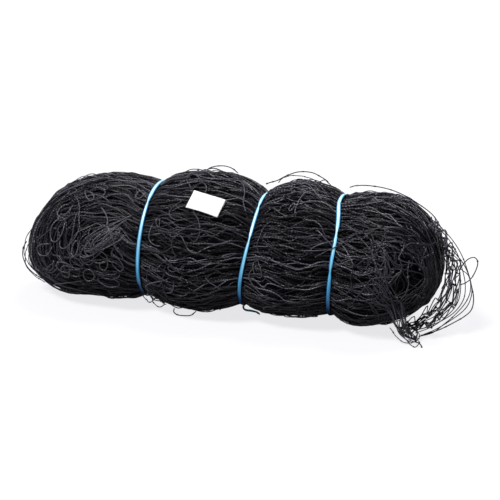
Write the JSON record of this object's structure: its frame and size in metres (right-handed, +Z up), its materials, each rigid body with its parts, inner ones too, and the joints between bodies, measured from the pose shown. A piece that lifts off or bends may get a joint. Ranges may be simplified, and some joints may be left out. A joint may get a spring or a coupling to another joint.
{
  "type": "bundled tennis netting",
  "caption": "Soft bundle of black knotted sports netting, drawn in by flat twine ties into lobes that bend at the waists, with a blank swinging paper label.",
  "frame": {"origin": "on the floor, below the middle of the bundle's box measured without its loose strands and tie tails", "axes": "+X along the bundle towards the end with the loose loops, -Y towards the front that shows the label, +Z up"},
  "size_m": [0.6855, 0.21, 0.2076],
  "materials": {
    "netting": "packed black knotted netting",
    "net_twine": "black braided polyethylene twine",
    "tie_twine": "light blue fibrillated flat polypropylene twine",
    "label_paper": "blank white coated paper"
  },
  "bodies": {
    "lobe_2": {"net_lobe_2": "netting", "tie_1_band": "tie_twine", "tie_1_knot": "tie_twine", "tie_1_tail_left": "tie_twine", "tie_1_tail_right": "tie_twine", "tie_2_band": "tie_twine", "tie_2_knot": "tie_twine", "tie_2_tail_front": "tie_twine", "tie_2_tail_back": "tie_twine", "label_twine": "net_twine", "loose_twine_top_2": "net_twine", "loose_twine_floor_2": "net_twine"},
    "lobe_1": {"net_lobe_1": "netting", "loose_twine_left": "net_twine"},
    "lobe_3": {"net_lobe_3": "netting", "tie_3_band": "tie_twine", "tie_3_knot": "tie_twine", "tie_3_tail_left": "tie_twine", "tie_3_tail_right": "tie_twine", "loose_twine_top_3": "net_twine"},
    "lobe_4": {"net_lobe_4": "netting", "loose_twine_top_4": "net_twine", "loose_twine_right_outer": "net_twine", "loose_twine_right_inner": "net_twine", "loose_twine_right_front": "net_twine", "loose_twine_right_end": "net_twine"},
    "label": {"label": "label_paper"}
  },
  "joints": [
    {"name": "waist_1_bend", "type": "hinge", "parent": "lobe_2", "child": "lobe_1", "pos_m": [-0.12, 0, 0.095], "axis": [0, 0, 1], "range_deg": [-10, 10]},
    {"name": "waist_2_bend", "type": "hinge", "parent": "lobe_2", "child": "lobe_3", "pos_m": [0.044, 0, 0.095], "axis": [0, 0, 1], "range_deg": [-10, 10]},
    {"name": "waist_3_bend", "type": "hinge", "parent": "lobe_3", "child": "lobe_4", "pos_m": [0.173, 0, 0.095], "axis": [0, 0, 1], "range_deg": [-10, 10]},
    {"name": "label_swing", "type": "hinge", "parent": "lobe_2", "child": "label", "pos_m": [-0.01429, -0.05759, 0.18766], "axis": [-0.9765, 0.138, 0.1653], "range_deg": [0, 140]}
  ]
}
